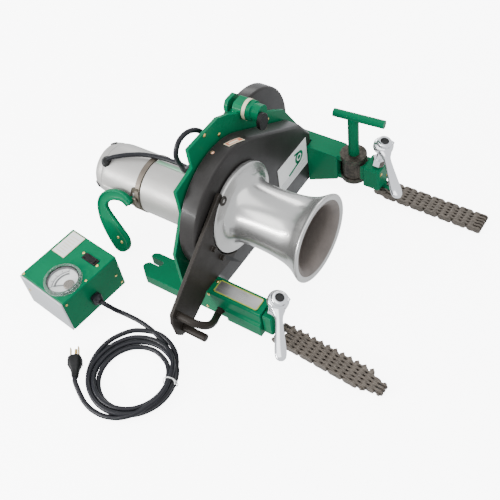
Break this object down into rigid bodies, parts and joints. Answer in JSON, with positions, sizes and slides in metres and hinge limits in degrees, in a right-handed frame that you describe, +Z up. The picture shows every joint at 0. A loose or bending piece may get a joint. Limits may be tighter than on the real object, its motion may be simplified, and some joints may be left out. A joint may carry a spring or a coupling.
{
  "type": "capstan cable puller",
  "caption": "Powered capstan cable puller: green frame, flared winch drum, guarded chain drive, chain vise arms with ratchet wrenches, and a separate corded force meter box.",
  "frame": {"origin": "centre of the footprint of the machine and its meter box without the mains cord, on the floor plane", "axes": "+Z up; +X along the capstan axis, out of the drum's mouth; +Y towards the arm with the T-handle pin"},
  "size_m": [0.6072, 0.623, 0.29],
  "materials": {
    "black_paint": "satin black paint",
    "bright_cast": "turned bright casting",
    "motor_cast": "as-cast satin",
    "chain_steel": "oiled chain steel",
    "chrome_tool": "chrome plate",
    "glass": "clear",
    "green_enamel": "gloss green enamel",
    "black_plastic": "moulded black",
    "metal_plate": "satin plate",
    "red_label": "printed film",
    "rubber": "satin black rubber",
    "silver_panel": "brushed sheet",
    "steel": "machined steel",
    "white_label": "printed film"
  },
  "bodies": {
    "chassis": {"box_end_panel": "silver_panel", "box_label": "white_label", "capstan_bearing": "steel", "cord_coil": "rubber", "cord_gland": "rubber", "cord_lead": "rubber", "cord_tie": "white_label", "dial_bezel": "metal_plate", "dial_face": "white_label", "dial_glass": "glass", "far_arm": "green_enamel", "frame_plate": "green_enamel", "front_drive_chain": "chain_steel", "front_guard": "black_paint", "gear_housing": "motor_cast", "guard_label": "white_label", "guard_sticker": "red_label", "jack_bearing": "steel", "mains_plug": "rubber", "meter_box": "green_enamel", "motor_band": "steel", "motor_body": "motor_cast", "motor_cable": "rubber", "motor_cap": "motor_cast", "motor_plate": "metal_plate", "near_foot": "green_enamel", "near_rail": "green_enamel", "near_vise_block": "green_enamel", "rail_plate": "metal_plate", "rear_cover": "black_paint", "rear_drive_chain": "chain_steel", "rear_guard": "black_paint", "switch_frame": "black_plastic", "top_bracket": "green_enamel"},
    "capstan": {"capstan_drum": "bright_cast", "capstan_shaft": "steel", "capstan_bolt": "steel", "capstan_sprocket": "steel"},
    "jackshaft": {"jack_shaft": "steel", "jack_pinion": "steel", "jack_sprocket": "steel"},
    "rotor": {"motor_shaft": "steel", "motor_sprocket": "steel"},
    "ramp": {"rope_ramp": "black_paint", "ramp_rod": "black_paint", "ramp_peg": "black_paint"},
    "near_tightener": {"near_screw": "chrome_tool", "near_wrench": "chrome_tool"},
    "near_chain_run": {"near_chain": "chain_steel"},
    "far_head": {"far_vise_head": "green_enamel"},
    "far_tightener": {"far_screw": "chrome_tool", "far_wrench": "chrome_tool"},
    "far_chain_run": {"far_chain": "chain_steel"},
    "t_pin": {"t_handle_pin": "green_enamel"},
    "leg": {"side_leg": "green_enamel"},
    "knob": {"latch_knob": "black_plastic"},
    "rocker": {"switch_rocker": "black_plastic"},
    "needle": {"dial_needle": "black_plastic"}
  },
  "joints": [
    {"name": "capstan_spin", "type": "hinge", "parent": "chassis", "child": "capstan", "pos_m": [-0.00658, 0.00121, 0.134], "axis": [1, 0, 0], "continuous": true},
    {"name": "jackshaft_spin", "type": "hinge", "parent": "chassis", "child": "jackshaft", "pos_m": [-0.06258, 0.14921, 0.112], "axis": [1, 0, 0], "continuous": true},
    {"name": "rotor_spin", "type": "hinge", "parent": "chassis", "child": "rotor", "pos_m": [-0.12158, 0.00821, 0.091], "axis": [1, 0, 0], "continuous": true},
    {"name": "ramp_hinge", "type": "hinge", "parent": "chassis", "child": "ramp", "pos_m": [0.01142, -0.12279, 0.016], "axis": [0, 1, 0], "range_deg": [0, 20]},
    {"name": "near_screw_turn", "type": "hinge", "parent": "chassis", "child": "near_tightener", "pos_m": [0.10242, -0.10079, 0.05], "axis": [0.342, 0, 0.9397], "range_deg": [-80, 30]},
    {"name": "near_chain_hinge", "type": "hinge", "parent": "chassis", "child": "near_chain_run", "pos_m": [0.11692, -0.10629, 0.008], "axis": [0.0663, 0.9978, 0], "range_deg": [-50, 0]},
    {"name": "far_head_swivel", "type": "hinge", "parent": "chassis", "child": "far_head", "pos_m": [0.06542, 0.23121, 0.057], "axis": [0, 0, 1], "range_deg": [-12, 15]},
    {"name": "far_screw_turn", "type": "hinge", "parent": "far_head", "child": "far_tightener", "pos_m": [0.11142, 0.23021, 0.076], "axis": [0.2079, 0, 0.9781], "range_deg": [-60, 30]},
    {"name": "far_chain_hinge", "type": "hinge", "parent": "far_head", "child": "far_chain_run", "pos_m": [0.12992, 0.24471, 0.008], "axis": [0.0087, 1, 0], "range_deg": [-50, 0]},
    {"name": "t_pin_lift", "type": "slide", "parent": "chassis", "child": "t_pin", "axis": [0, 0, 1], "range_m": [0, 0.06]},
    {"name": "leg_swing", "type": "hinge", "parent": "chassis", "child": "leg", "pos_m": [-0.21158, -0.05249, 0.0972], "axis": [0, 1, 0], "range_deg": [0, 45]},
    {"name": "knob_turn", "type": "hinge", "parent": "chassis", "child": "knob", "pos_m": [-0.01758, 0.09021, 0.2405], "axis": [1, 0, 0], "range_deg": [0, 90]},
    {"name": "switch_rock", "type": "hinge", "parent": "chassis", "child": "rocker", "pos_m": [-0.20834, -0.16677, 0.071], "axis": [0.1219, 0.9925, 0], "range_deg": [-11, 0]},
    {"name": "needle_sweep", "type": "hinge", "parent": "chassis", "child": "needle", "pos_m": [-0.20467, -0.22465, 0.0734], "axis": [0, 0, 1], "range_deg": [-84, 0]}
  ],
  "couplings": [
    {"joint": "jackshaft_spin", "follows": "capstan_spin", "ratio": 4.2},
    {"joint": "rotor_spin", "follows": "capstan_spin", "ratio": 17.733}
  ]
}
